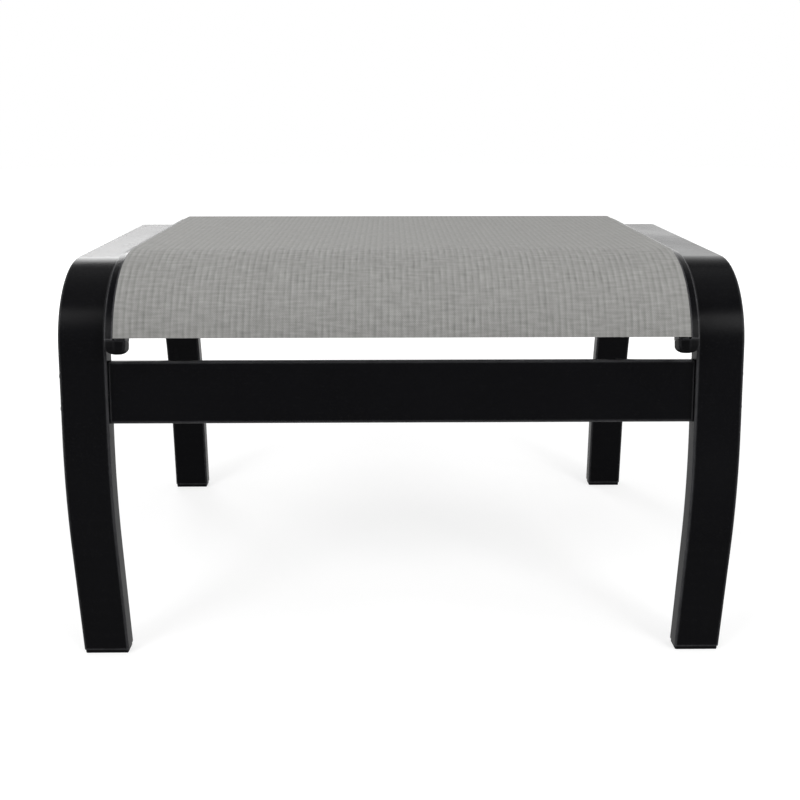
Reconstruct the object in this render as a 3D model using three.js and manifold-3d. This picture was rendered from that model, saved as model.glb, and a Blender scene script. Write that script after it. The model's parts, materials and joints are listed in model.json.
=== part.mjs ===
// Outdoor ottoman with a stretched sling seat on two bent tube side frames.
// Millimetres, +Z up, +X to the right, -Y to the front. The origin is on the floor, under the middle.

import * as THREE from 'three';
import { mergeVertices } from 'three/addons/utils/BufferGeometryUtils.js';
import Module from 'manifold-3d';

const wasm = await Module();
wasm.setup();

// Sizes of the whole ottoman

const overallWidth = 660;
const overallDepth = 484;
const frameHeight = 397;

// Side frame: one rectangular tube, bent over the top, its legs bowed out and turned in at the foot

const tubeWidth = 46;
const tubeThickness = 19;
const tubeWall = 1.5;
const tubeCornerRadius = 2;
const frameBendRadius = 90;
const legSplayDegrees = 9.8;
const legToeDegrees = 2.6;
const legBowRadius = 550;
const legBowHeight = 146;

// Sling: the seat surface runs level, then round a bend at the front and at the back

const crownRise = 9.5;
const slingLevelHalf = 139;
const slingBendRadius = 104;
const slingWrapDegrees = 70.9;
const fabricThickness = 0.8;

// Sling rail: an extrusion with a keyhole channel on top for the fabric's edge and a chamber below

const railWidth = 20;
const railDepth = 19;
const railWall = 1.5;
const railCornerRadius = 1.2;
const railShoulderDrop = 2.9;
const railToFrame = 3;
const railPastFabric = 1.5;
const channelLip = 1.6;
const splineRadius = 2.1;

// Rail end cap: a domed head on a tongue that plugs the chamber

const capLength = 13;
const capRound = 7;
const capEdgeRadius = 2;
const capTongueLength = 14;

// Cross rail: a flat tube between the legs, front and back, set below the top and just behind the leg's middle

const crossRailHeight = 61;
const crossRailDepth = 12.5;
const crossRailBelowTop = 119;
const crossRailBehind = 2.8;
const insertLength = 24;

// Spreader bar: a round tube that holds the sling rails apart and dips clear of the seat

const spreaderRadius = 8;
const spreaderWall = 1.5;
const spreaderFromMiddle = 105;
const spreaderEndRun = 35;
const spreaderDrop = 26;
const spreaderBendRadius = 60;
const spreaderSlopeDegrees = 18;
const spreaderInsertLength = 20;

// Button-head bolts, with a socket for a hexagonal key, and shares of their heads and shanks

const crossBolt = { radius: 3, headRadius: 5.25, headHeight: 3.3, socketRadius: 2.3, socketDepth: 2 };
const crossBoltSpacing = 32;
const crossBoltGrip = 20;
const spreaderBolt = { radius: 2.5, headRadius: 4.75, headHeight: 2.75, socketRadius: 1.75, socketDepth: 1.6 };
const spreaderBoltGrip = 16;
const spacerRadius = 4.5;
const boltRimShare = 0.33;
const boltCrownShare = 0.83;
const boltTipShare = 0.5;

// Foot glide: a moulded pad below the tube, on a ribbed tongue inside it

const glideHeight = 5;
const glideInset = 1;
const glideEdgeRadius = 1.4;
const glideTongueLength = 26;
const glideRibCount = 3;
const glideRibHeight = 2.5;
const glideRibDepth = 1.8;

// Fits and cuts

const touchGap = 0.3;
const cutOverrun = 5;
const weldDistance = 0.0001;

// Facet counts

const frameBendSteps = 12;
const legBowSteps = 5;
const slingBendSteps = 10;
const spreaderBendSteps = 3;
const socketSides = 6;
const roundSteps = 10;
const cornerSteps = 2;

// Angles and places that follow from the sizes

const splay = THREE.MathUtils.degToRad(legSplayDegrees);
const toe = THREE.MathUtils.degToRad(legToeDegrees);
const slingWrap = THREE.MathUtils.degToRad(slingWrapDegrees);
const quarterTurn = Math.PI / 2;
const halfTurn = Math.PI;
const fullTurn = Math.PI * 2;

const frameInner = overallWidth / 2 - tubeWidth;
const frameMiddle = overallWidth / 2 - tubeWidth / 2;
const railOuter = frameInner - railToFrame;
const railMiddle = railOuter - railWidth / 2;
const railInner = railOuter - railWidth;
const crownHeight = frameHeight + crownRise;

// Heights inside the sling's thickness, measured outwards from the seat surface

const railTop = -fabricThickness - touchGap;
const railBottom = railTop - railDepth;
const pocketRadius = splineRadius + touchGap;
const hemRadius = pocketRadius + fabricThickness;
const channelRadius = hemRadius + touchGap;
const channelHalfWidth = fabricThickness + touchGap;
const channelMiddle = railTop - channelLip - channelRadius;
const chamberTop = channelMiddle - channelRadius - railWall;
const chamberBottom = railBottom + railWall;
const chamberHalfWidth = railWidth / 2 - railWall;
const spreaderHeight = crownHeight + chamberBottom + spreaderBolt.radius + 2 * touchGap;

const sides = [{ word: 'left', sign: -1, turn: halfTurn }, { word: 'right', sign: 1, turn: 0 }];
const ends = [{ word: 'front', sign: -1, turn: halfTurn }, { word: 'rear', sign: 1, turn: 0 }];

// Finishes

function finish(color, roughness, metalness) {
  return () => new THREE.MeshStandardMaterial({ color, roughness, metalness });
}

const powderCoat = finish(0x131315, 0.45, 0.3);
const slingCloth = finish(0x9a9a98, 0.9, 0);
const blackPlastic = finish(0x151516, 0.5, 0);
const blackSteel = finish(0x1c1c1e, 0.35, 0.8);
const castAluminium = finish(0xa5a7aa, 0.5, 0.9);
const whiteVinyl = finish(0xd8d6d0, 0.6, 0);

// Turning meshes into solids for cuts and joins, and back

function solid(geometry) {
  geometry.deleteAttribute('normal');
  geometry.deleteAttribute('uv');
  const merged = mergeVertices(geometry, weldDistance);
  const vertProperties = new Float32Array(merged.attributes.position.array);
  const triVerts = new Uint32Array(merged.index.array);
  return new wasm.Manifold(new wasm.Mesh({ numProp: 3, vertProperties, triVerts }));
}

function geometryOf(body) {
  const mesh = body.getMesh();
  const geometry = new THREE.BufferGeometry();
  const places = new Float32Array(mesh.vertProperties);
  geometry.setAttribute('position', new THREE.BufferAttribute(places, mesh.numProp));
  geometry.setIndex(new THREE.BufferAttribute(new Uint32Array(mesh.triVerts), 1));
  const faceted = geometry.toNonIndexed();
  faceted.computeVertexNormals();
  return faceted;
}

function without(body, tools) {
  return tools.reduce((left, tool) => left.subtract(solid(tool)), body);
}

// Points of a round stretch, at even angles

function arc(centreX, centreY, radius, from, to, steps) {
  const points = [];
  for (let i = 0; i <= steps; i += 1) {
    const angle = from + ((to - from) * i) / steps;
    points.push(new THREE.Vector2(centreX + radius * Math.cos(angle), centreY + radius * Math.sin(angle)));
  }
  return points;
}

function roundedRectangle(halfWidth, halfHeight, radius) {
  const x = halfWidth - radius;
  const y = halfHeight - radius;
  return new THREE.Shape([
    ...arc(x, -y, radius, -quarterTurn, 0, cornerSteps),
    ...arc(x, y, radius, 0, quarterTurn, cornerSteps),
    ...arc(-x, y, radius, quarterTurn, halfTurn, cornerSteps),
    ...arc(-x, -y, radius, halfTurn, halfTurn + quarterTurn, cornerSteps),
  ]);
}

// A side view outline in Y and Z, given its width along X about the middle

function acrossX(shape, width, edgeRadius = 0) {
  const geometry = new THREE.ExtrudeGeometry(shape, {
    depth: width - 2 * edgeRadius,
    bevelEnabled: edgeRadius > 0,
    bevelThickness: edgeRadius,
    bevelSize: edgeRadius,
    bevelOffset: -edgeRadius,
    bevelSegments: cornerSteps,
  });
  geometry.translate(0, 0, edgeRadius - width / 2);
  const basis = new THREE.Matrix4().makeBasis(
    new THREE.Vector3(0, 1, 0),
    new THREE.Vector3(0, 0, 1),
    new THREE.Vector3(1, 0, 0),
  );
  return geometry.applyMatrix4(basis);
}

function rodAlongX(radius, length, x, y, z) {
  const geometry = new THREE.CylinderGeometry(radius, radius, length, roundSteps);
  return geometry.rotateZ(quarterTurn).translate(x, y, z);
}

// The line of a leg

const bowMiddleY = overallDepth / 2 - legBowRadius;
const bendMiddleZ = frameHeight - frameBendRadius;
const bowPastBend = legBowRadius - frameBendRadius;
const splayRise = bendMiddleZ - legBowHeight - bowPastBend * Math.sin(splay);
const bendMiddleY = bowMiddleY + bowPastBend * Math.cos(splay) - Math.tan(splay) * splayRise;

// Where the middle of the rear leg's tube is at a height, and how far it leans there

function legAt(height) {
  const radius = legBowRadius - tubeThickness / 2;
  const lowest = legBowHeight - radius * Math.sin(toe);
  const highest = legBowHeight + radius * Math.sin(splay);
  if (height < lowest) {
    return { y: bowMiddleY + radius * Math.cos(toe) - (lowest - height) * Math.tan(toe), lean: -toe };
  }
  if (height > highest) {
    return { y: bowMiddleY + radius * Math.cos(splay) - (height - highest) * Math.tan(splay), lean: splay };
  }
  const lean = Math.asin((height - legBowHeight) / radius);
  return { y: bowMiddleY + radius * Math.cos(lean), lean };
}

// The side frame's outline at a depth below the tube's outer face, from the front foot to the rear one

function archLine(depth, footHeight) {
  const bow = legBowRadius - depth;
  const bend = frameBendRadius - depth;
  const drop = legBowHeight - bow * Math.sin(toe) - footHeight;
  const foot = bowMiddleY + bow * Math.cos(toe) - drop * Math.tan(toe);
  return [
    new THREE.Vector2(-foot, footHeight),
    ...arc(-bowMiddleY, legBowHeight, bow, halfTurn + toe, halfTurn - splay, legBowSteps),
    ...arc(-bendMiddleY, bendMiddleZ, bend, halfTurn - splay, quarterTurn, frameBendSteps),
    ...arc(bendMiddleY, bendMiddleZ, bend, quarterTurn, splay, frameBendSteps),
    ...arc(bowMiddleY, legBowHeight, bow, splay, -toe, legBowSteps),
    new THREE.Vector2(foot, footHeight),
  ];
}

function archShape(outerDepth, innerDepth, footHeight) {
  return new THREE.Shape([...archLine(outerDepth, footHeight), ...archLine(innerDepth, footHeight).reverse()]);
}

// Places of the bolts that hold the cross rails, as Y and Z on the rear leg

const crossRailMiddleHeight = frameHeight - crossRailBelowTop;
const crossRailLean = legAt(crossRailMiddleHeight).lean;
const crossRailY = legAt(crossRailMiddleHeight).y - crossRailBehind * Math.cos(crossRailLean);
const crossRailZ = crossRailMiddleHeight - crossRailBehind * Math.sin(crossRailLean);
const boltRows = [{ word: 'lower', sign: -1 }, { word: 'upper', sign: 1 }];

function crossBoltPlace(row) {
  const along = (row.sign * crossBoltSpacing) / 2;
  return { y: crossRailY - along * Math.sin(crossRailLean), z: crossRailZ + along * Math.cos(crossRailLean) };
}

function sideFrameGeometry() {
  const arch = archShape(0, tubeThickness, glideHeight - cutOverrun);
  const tube = solid(acrossX(arch, tubeWidth, tubeCornerRadius));
  const cavity = archShape(tubeWall, tubeThickness - tubeWall, glideHeight - 2 * cutOverrun);
  const floorCut = new THREE.BoxGeometry(2 * tubeWidth, 2 * overallDepth, 2 * cutOverrun);
  floorCut.translate(0, 0, glideHeight - cutOverrun);
  const holeLength = tubeWidth + 2 * cutOverrun;
  const holes = [];
  for (const end of ends) {
    for (const row of boltRows) {
      const place = crossBoltPlace(row);
      holes.push(rodAlongX(crossBolt.radius + touchGap, holeLength, 0, end.sign * place.y, place.z));
    }
    const y = end.sign * spreaderFromMiddle;
    holes.push(rodAlongX(spreaderBolt.radius + touchGap, holeLength, 0, y, spreaderHeight));
  }
  return geometryOf(without(tube, [acrossX(cavity, tubeWidth - 2 * tubeWall), floorCut, ...holes]));
}

// A path given by its stations, so that each ring of a sweep lies exactly where a bend starts, steps or ends

class StationPath extends THREE.Curve {
  constructor(stations) {
    super();
    this.stations = stations;
  }

  stationAt(u) {
    return this.stations[Math.round(u * (this.stations.length - 1))];
  }

  getPointAt(u, target = new THREE.Vector3()) {
    return target.copy(this.stationAt(u).point);
  }

  getTangentAt(u, target = new THREE.Vector3()) {
    return target.copy(this.stationAt(u).along);
  }
}

function sweep(shape, stations) {
  const extrudePath = new StationPath(stations);
  return new THREE.ExtrudeGeometry(shape, { steps: stations.length - 1, extrudePath });
}

// The seat surface seen from the side: a station at an angle round the front or the rear bend

function slingStation(angle, end) {
  const y = slingLevelHalf + slingBendRadius * Math.sin(angle);
  const z = crownHeight - slingBendRadius * (1 - Math.cos(angle));
  return {
    point: new THREE.Vector3(0, end.sign * y, z),
    along: new THREE.Vector3(0, Math.cos(angle), -end.sign * Math.sin(angle)),
  };
}

function slingStations(endAngles) {
  const [front, rear] = ends;
  const angles = [];
  for (let i = 0; i <= slingBendSteps; i += 1) {
    angles.push((slingWrap * i) / slingBendSteps);
  }
  angles.push(...endAngles);
  return [
    ...angles.slice().reverse().map((angle) => slingStation(angle, front)),
    ...angles.map((angle) => slingStation(angle, rear)),
  ];
}

const railEndAngle = slingWrap + railPastFabric / slingBendRadius;

// Right and left half of the rail's outline: a flat bottom and sides, and a top that falls away from the mouth

function railOutline(cornerRadius) {
  const shoulderWidth = railWidth / 2 - channelHalfWidth;
  const slope = Math.atan(railShoulderDrop / shoulderWidth);
  const x = railWidth / 2 - cornerRadius;
  const low = railBottom + cornerRadius;
  const high = railTop - (x - channelHalfWidth) * Math.tan(slope) - cornerRadius / Math.cos(slope);
  const right = [
    ...arc(x, low, cornerRadius, -quarterTurn, 0, cornerSteps),
    ...arc(x, high, cornerRadius, 0, quarterTurn - slope, cornerSteps),
    new THREE.Vector2(channelHalfWidth, railTop),
  ];
  const left = right.map((point) => new THREE.Vector2(-point.x, point.y)).reverse();
  return { right, left };
}

// Sling rail section: keyhole channel open to the top, closed chamber below it

function slingRailGeometry() {
  const { right, left } = railOutline(railCornerRadius);
  const mouth = Math.acos(channelHalfWidth / channelRadius);
  const channel = arc(0, channelMiddle, channelRadius, mouth, -halfTurn - mouth, roundSteps);
  const section = new THREE.Shape([...right, ...channel, ...left]);
  section.holes.push(new THREE.Path([
    new THREE.Vector2(-chamberHalfWidth, chamberBottom),
    new THREE.Vector2(-chamberHalfWidth, chamberTop),
    new THREE.Vector2(chamberHalfWidth, chamberTop),
    new THREE.Vector2(chamberHalfWidth, chamberBottom),
  ]));
  const holes = ends.map((end) => rodAlongX(
    spreaderBolt.radius + touchGap,
    railWidth + 2 * cutOverrun,
    0,
    end.sign * spreaderFromMiddle,
    spreaderHeight,
  ));
  return geometryOf(without(solid(sweep(section, slingStations([railEndAngle]))), holes));
}

// Sling fabric section: the sheet, and at each side a doubled neck and a hem round the spline

function slingFabricGeometry() {
  const hemMouth = Math.acos(fabricThickness / hemRadius);
  const hemSteps = roundSteps - cornerSteps;
  const pocketSteps = hemSteps - cornerSteps;
  const rightEdge = [
    new THREE.Vector2(railMiddle - fabricThickness, -fabricThickness),
    ...arc(railMiddle, channelMiddle, hemRadius, -halfTurn - hemMouth, hemMouth, hemSteps),
    ...arc(railMiddle, -fabricThickness, fabricThickness, 0, quarterTurn, cornerSteps),
  ];
  const leftEdge = rightEdge.map((point) => new THREE.Vector2(-point.x, point.y)).reverse();
  const section = new THREE.Shape([...rightEdge, ...leftEdge]);
  for (const side of sides) {
    const pocket = new THREE.Path();
    pocket.setFromPoints(arc(side.sign * railMiddle, channelMiddle, pocketRadius, 0, -fullTurn, pocketSteps));
    section.holes.push(pocket);
  }
  return sweep(section, slingStations([]));
}

function splineGeometry() {
  const steps = roundSteps - 2 * cornerSteps;
  const section = new THREE.Shape(arc(0, channelMiddle, splineRadius, 0, fullTurn, steps));
  return sweep(section, slingStations([]));
}

// Rail end cap for the rear end of a rail: the rail's outline, rounded off by a front view and a side view

function domeOutline(low, high) {
  return new THREE.Shape([
    ...arc(high - capRound, capRound - capLength, capRound, -quarterTurn, 0, 2 * cornerSteps),
    new THREE.Vector2(high, -touchGap),
    new THREE.Vector2(low, -touchGap),
    ...arc(low + capRound, capRound - capLength, capRound, halfTurn, halfTurn + quarterTurn, 2 * cornerSteps),
  ]);
}

function railCapGeometry() {
  const rear = ends[1];
  const end = slingStation(railEndAngle, rear);
  const { right, left } = railOutline(capEdgeRadius);
  const block = new THREE.ExtrudeGeometry(new THREE.Shape([...right, ...left]), {
    depth: 2 * capLength,
    bevelEnabled: false,
  });
  block.translate(0, 0, -2 * capLength);
  const frontView = new THREE.ExtrudeGeometry(domeOutline(-railWidth / 2, railWidth / 2), {
    depth: 2 * railDepth,
    bevelEnabled: false,
  });
  frontView.rotateX(quarterTurn).translate(0, railDepth / 2, 0);
  const sideView = acrossX(domeOutline(railBottom, railTop), 2 * railWidth);
  const outwards = new THREE.Vector3(0, Math.sin(railEndAngle), Math.cos(railEndAngle));
  const backwards = end.along.clone().negate();
  const toRailEnd = new THREE.Matrix4().makeBasis(new THREE.Vector3(1, 0, 0), outwards, backwards);
  toRailEnd.setPosition(end.point);
  const views = [block, frontView, sideView].map((view) => solid(view.applyMatrix4(toRailEnd)));
  const head = views[0].intersect(views[1]).intersect(views[2]);
  const halfWidth = chamberHalfWidth - touchGap;
  const tongueSection = new THREE.Shape([
    new THREE.Vector2(-halfWidth, chamberBottom + touchGap),
    new THREE.Vector2(halfWidth, chamberBottom + touchGap),
    new THREE.Vector2(halfWidth, chamberTop - touchGap),
    new THREE.Vector2(-halfWidth, chamberTop - touchGap),
  ]);
  const tongueSteps = 2 * cornerSteps;
  const tongueStations = [];
  for (let i = tongueSteps; i >= 0; i -= 1) {
    const back = (capTongueLength / slingBendRadius) * (i / tongueSteps);
    tongueStations.push(slingStation(railEndAngle - back, rear));
  }
  const root = end.point.clone().addScaledVector(end.along, capLength / 2);
  tongueStations.push({ point: root, along: end.along });
  return geometryOf(head.add(solid(sweep(tongueSection, tongueStations))));
}

// Cross rail and the cast insert in each of its ends, lying along X about their own middles

function crossRailGeometry() {
  const section = roundedRectangle(crossRailDepth / 2, crossRailHeight / 2, tubeCornerRadius);
  const halfDepth = crossRailDepth / 2 - tubeWall;
  const inner = roundedRectangle(halfDepth, crossRailHeight / 2 - tubeWall, tubeCornerRadius / 2);
  section.holes.push(new THREE.Path(inner.getPoints().reverse()));
  return acrossX(section, 2 * (frameInner - touchGap));
}

function crossInsertGeometry() {
  const inset = tubeWall + touchGap;
  const halfDepth = crossRailDepth / 2 - inset;
  const section = roundedRectangle(halfDepth, crossRailHeight / 2 - inset, tubeCornerRadius / 2);
  for (const row of boltRows) {
    const y = (row.sign * crossBoltSpacing) / 2;
    const hole = arc(0, y, crossBolt.radius + touchGap, 0, -fullTurn, roundSteps);
    section.holes.push(new THREE.Path(hole.slice(1)));
  }
  return acrossX(section, insertLength);
}

// Bolt with its head's seat at X zero and its shank running towards the middle of the ottoman

function boltGeometry(bolt, length) {
  const tip = bolt.radius * boltTipShare;
  const shoulder = (bolt.headRadius + bolt.socketRadius) / 2;
  const profile = [
    new THREE.Vector2(0, -length),
    new THREE.Vector2(bolt.radius - tip, -length),
    new THREE.Vector2(bolt.radius, tip - length),
    new THREE.Vector2(bolt.radius, touchGap),
    new THREE.Vector2(bolt.headRadius, touchGap),
    new THREE.Vector2(bolt.headRadius, bolt.headHeight * boltRimShare),
    new THREE.Vector2(shoulder, bolt.headHeight * boltCrownShare),
    new THREE.Vector2(bolt.socketRadius + touchGap, bolt.headHeight),
    new THREE.Vector2(0, bolt.headHeight),
  ];
  const turned = new THREE.LatheGeometry(profile, roundSteps);
  const { socketRadius, socketDepth } = bolt;
  const socket = new THREE.CylinderGeometry(socketRadius, socketRadius, 2 * socketDepth, socketSides);
  socket.translate(0, bolt.headHeight, 0);
  return geometryOf(without(solid(turned), [socket])).rotateZ(-quarterTurn);
}

function ringShape(outerRadius, innerRadius, firstCorner) {
  const ring = new THREE.Shape(arc(0, 0, outerRadius, firstCorner, firstCorner + fullTurn, roundSteps));
  ring.holes.push(new THREE.Path(arc(0, 0, innerRadius, firstCorner, firstCorner - fullTurn, roundSteps)));
  return ring;
}

function ringAlongX(outerRadius, innerRadius, length) {
  return acrossX(ringShape(outerRadius, innerRadius, 0), length);
}

// Spreader bar: level ends for the bolts, an S bend down on each side and a level middle

function spreaderStations() {
  const slope = THREE.MathUtils.degToRad(spreaderSlopeDegrees);
  const endX = railInner - touchGap;
  const slopeRun = (spreaderDrop - 2 * spreaderBendRadius * (1 - Math.cos(slope))) / Math.tan(slope);
  const upperX = endX - spreaderEndRun;
  const lowerX = upperX - 2 * spreaderBendRadius * Math.sin(slope) - slopeRun;
  const half = [{ x: endX, drop: 0, slope: 0 }];
  for (let i = 0; i <= spreaderBendSteps; i += 1) {
    const angle = (slope * i) / spreaderBendSteps;
    const x = upperX - spreaderBendRadius * Math.sin(angle);
    half.push({ x, drop: spreaderBendRadius * (1 - Math.cos(angle)), slope: angle });
  }
  for (let i = spreaderBendSteps; i >= 0; i -= 1) {
    const angle = (slope * i) / spreaderBendSteps;
    const x = lowerX + spreaderBendRadius * Math.sin(angle);
    half.push({ x, drop: spreaderDrop - spreaderBendRadius * (1 - Math.cos(angle)), slope: angle });
  }
  const leftHalf = half.map((place) => ({ x: -place.x, drop: place.drop, slope: -place.slope }));
  return [...leftHalf, ...half.reverse()].map((place) => ({
    point: new THREE.Vector3(place.x, 0, -place.drop),
    along: new THREE.Vector3(Math.cos(place.slope), 0, Math.sin(place.slope)),
  }));
}

function spreaderGeometry() {
  // A sweep turns its section by a quarter, so this start lines the bore's facets up with those of its plugs
  const section = ringShape(spreaderRadius, spreaderRadius - spreaderWall, quarterTurn);
  return sweep(section, spreaderStations());
}

// Foot glide for a rear leg, about the point on the floor under the middle of the tube

function glideGeometry() {
  const slant = Math.tan(toe);
  const halfPad = tubeThickness / 2 - glideInset;
  const padTop = glideHeight - touchGap;
  const high = halfPad - glideEdgeRadius;
  const pad = new THREE.Shape([
    ...arc(high, glideEdgeRadius, glideEdgeRadius, -quarterTurn, 0, cornerSteps),
    new THREE.Vector2(halfPad + padTop * slant, padTop),
    new THREE.Vector2(-halfPad + padTop * slant, padTop),
    ...arc(-high, glideEdgeRadius, glideEdgeRadius, halfTurn, halfTurn + quarterTurn, cornerSteps),
  ]);
  const ribReach = tubeThickness / 2 - tubeWall - touchGap;
  const coreReach = ribReach - glideRibDepth;
  const ribPitch = glideTongueLength / glideRibCount;
  const outline = [{ reach: coreReach, height: glideHeight / 2 }];
  for (let i = 0; i < glideRibCount; i += 1) {
    const ribTop = glideHeight + (i + 1) * ribPitch - glideRibHeight / 2;
    outline.push({ reach: coreReach, height: ribTop - glideRibHeight });
    outline.push({ reach: ribReach, height: ribTop - glideRibHeight });
    outline.push({ reach: coreReach, height: ribTop });
  }
  const place = (sign, { reach, height }) => new THREE.Vector2(sign * reach + height * slant, height);
  const edge = (sign) => outline.map((point) => place(sign, point));
  const tongue = new THREE.Shape([...edge(1), ...edge(-1).reverse()]);
  const tongueWidth = tubeWidth - 2 * (tubeWall + touchGap);
  const padSolid = solid(acrossX(pad, tubeWidth - 2 * glideInset, glideEdgeRadius));
  return geometryOf(padSolid.add(solid(acrossX(tongue, tongueWidth))));
}

// The ottoman

const ottoman = new THREE.Group();

function add(name, geometry, material, x = 0, y = 0, z = 0, turn = 0) {
  const mesh = new THREE.Mesh(geometry, material());
  mesh.name = name;
  mesh.position.set(x, y, z);
  mesh.rotation.z = turn;
  ottoman.add(mesh);
  return mesh;
}

function addSideParts() {
  const frame = sideFrameGeometry();
  const rail = slingRailGeometry();
  const spline = splineGeometry();
  const spacer = ringAlongX(spacerRadius, spreaderBolt.radius + touchGap, railToFrame - 2 * touchGap);
  const longBolt = boltGeometry(spreaderBolt, overallWidth / 2 - railInner + spreaderBoltGrip);
  for (const side of sides) {
    add(`side_frame_${side.word}`, frame, powderCoat, side.sign * frameMiddle);
    add(`sling_rail_${side.word}`, rail, powderCoat, side.sign * railMiddle);
    add(`spline_${side.word}`, spline, whiteVinyl, side.sign * railMiddle);
    for (const end of ends) {
      const y = end.sign * spreaderFromMiddle;
      const spacerX = side.sign * (railOuter + railToFrame / 2);
      add(`rail_spacer_${end.word}_${side.word}`, spacer, blackPlastic, spacerX, y, spreaderHeight);
      const boltX = (side.sign * overallWidth) / 2;
      add(`spreader_bolt_${end.word}_${side.word}`, longBolt, blackSteel, boltX, y, spreaderHeight, side.turn);
    }
  }
}

function addCornerParts() {
  const cap = railCapGeometry();
  const glide = glideGeometry();
  const insert = crossInsertGeometry();
  const shortBolt = boltGeometry(crossBolt, tubeWidth + crossBoltGrip);
  for (const side of sides) {
    for (const end of ends) {
      const corner = `${end.word}_${side.word}`;
      const footX = side.sign * frameMiddle;
      add(`rail_cap_${corner}`, cap, blackPlastic, side.sign * railMiddle, 0, 0, end.turn);
      add(`foot_glide_${corner}`, glide, blackPlastic, footX, end.sign * legAt(0).y, 0, end.turn);
      const insertX = side.sign * (frameInner - 2 * touchGap - insertLength / 2);
      const insertY = end.sign * crossRailY;
      const fitted = add(`cross_insert_${corner}`, insert, castAluminium, insertX, insertY, crossRailZ);
      fitted.rotation.x = end.sign * crossRailLean;
      for (const row of boltRows) {
        const place = crossBoltPlace(row);
        const name = `cross_bolt_${corner}_${row.word}`;
        const boltX = (side.sign * overallWidth) / 2;
        add(name, shortBolt, blackSteel, boltX, end.sign * place.y, place.z, side.turn);
      }
    }
  }
}

function addCrossParts() {
  const crossRail = crossRailGeometry();
  const spreader = spreaderGeometry();
  const plugRadius = spreaderRadius - spreaderWall - touchGap;
  const endPlug = ringAlongX(plugRadius, spreaderBolt.radius + touchGap, spreaderInsertLength);
  for (const end of ends) {
    const tube = add(`cross_rail_${end.word}`, crossRail, powderCoat, 0, end.sign * crossRailY, crossRailZ);
    tube.rotation.x = end.sign * crossRailLean;
    const y = end.sign * spreaderFromMiddle;
    add(`spreader_bar_${end.word}`, spreader, powderCoat, 0, y, spreaderHeight);
    for (const side of sides) {
      const x = side.sign * (railInner - 2 * touchGap - spreaderInsertLength / 2);
      add(`spreader_insert_${end.word}_${side.word}`, endPlug, castAluminium, x, y, spreaderHeight);
    }
  }
}

addSideParts();
addCornerParts();
addCrossParts();
add('sling_fabric', slingFabricGeometry(), slingCloth);

export default ottoman;
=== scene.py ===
# %% [markdown]
# An outdoor ottoman, modelled piece by piece.
# Two bent tube side frames carry two curved rails, and a woven sling is stretched between the rails.
# The CAD model gives every size and place. It is loaded first, and each finished piece takes the place of one of
# its nodes, so that the looks never drift away from the real dimensions.

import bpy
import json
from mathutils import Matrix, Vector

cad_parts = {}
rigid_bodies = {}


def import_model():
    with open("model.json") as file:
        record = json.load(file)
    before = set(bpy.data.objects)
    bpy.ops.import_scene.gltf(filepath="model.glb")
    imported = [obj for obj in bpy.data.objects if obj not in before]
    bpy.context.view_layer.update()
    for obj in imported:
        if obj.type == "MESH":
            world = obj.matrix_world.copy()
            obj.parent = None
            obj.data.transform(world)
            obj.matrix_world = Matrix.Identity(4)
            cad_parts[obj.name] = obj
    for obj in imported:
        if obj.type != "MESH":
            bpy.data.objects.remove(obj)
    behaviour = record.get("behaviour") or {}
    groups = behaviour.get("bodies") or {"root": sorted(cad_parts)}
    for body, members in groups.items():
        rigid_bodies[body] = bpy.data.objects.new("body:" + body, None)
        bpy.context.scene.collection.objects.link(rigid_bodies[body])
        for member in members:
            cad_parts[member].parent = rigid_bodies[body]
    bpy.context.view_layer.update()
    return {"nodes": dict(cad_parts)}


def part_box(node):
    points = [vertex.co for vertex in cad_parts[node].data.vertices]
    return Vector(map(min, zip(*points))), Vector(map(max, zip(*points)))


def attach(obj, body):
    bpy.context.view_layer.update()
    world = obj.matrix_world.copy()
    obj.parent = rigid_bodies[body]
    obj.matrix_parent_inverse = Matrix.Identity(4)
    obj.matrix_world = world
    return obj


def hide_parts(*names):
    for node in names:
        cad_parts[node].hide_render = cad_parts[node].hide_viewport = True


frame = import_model()

# %% [markdown]
# Blender works in metres and the maker's drawing in millimetres, so one value turns one into the other.
# Modelling by hand means leaving edit mode, deselecting everything and picking one piece, again and again.
# These small helpers do that, and they pick faces, edges or corners by a test of their place, as a click would.
# Three small lengths say how close counts as near enough to pick, on the mirror's plane, and one and the same point.

# %% Helpers for working on one piece
import json
import math

import bmesh
import bpy
from mathutils import Vector

mm = 0.001
near, hair, touching = 0.1 * mm, 0.01 * mm, 0.001 * mm


def put_away():
    if bpy.context.object and bpy.context.object.mode != "OBJECT":
        bpy.ops.object.mode_set(mode="OBJECT")
    bpy.ops.object.select_all(action="DESELECT")


def work_on(piece):
    put_away()
    piece.select_set(True)
    bpy.context.view_layer.objects.active = piece


def edit(piece):
    work_on(piece)
    bpy.ops.object.mode_set(mode="EDIT")


def pick(piece, kind, test):
    bpy.ops.mesh.select_mode(type=kind)
    bpy.ops.mesh.select_all(action="DESELECT")
    body = bmesh.from_edit_mesh(piece.data)
    for item in {"VERT": body.verts, "EDGE": body.edges, "FACE": body.faces}[kind]:
        item.select_set(bool(test(item)))
    body.select_flush_mode()
    bmesh.update_edit_mesh(piece.data)


def extent(piece):
    places = [v.co for v in piece.data.vertices]
    return [[furthest(p[axis] for p in places) for axis in range(3)] for furthest in (min, max)]


def compare(piece, node):
    low, high = extent(piece)
    cad_low, cad_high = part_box(node)
    gaps = [round((a - b) / mm, 2) for a, b in zip((*low, *high), (*cad_low, *cad_high))]
    print(f"{piece.name}: {len(piece.data.polygons)} faces, corners off the CAD node by {gaps} mm")


def settle(piece):
    work_on(piece)
    bpy.ops.object.transform_apply(location=True, rotation=True, scale=True)


put_away()
print("nodes in the frame:", len(frame["nodes"]))

# %% [markdown]
# Most pieces here are made as a workshop makes them: a flat section is drawn once, then run straight on and turned
# round bends. Extrude is the straight run and Spin is the bend. Only half of a piece is made, because front and rear
# are alike, and a mirror makes the other half. Solidify gives a tube its wall.

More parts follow.
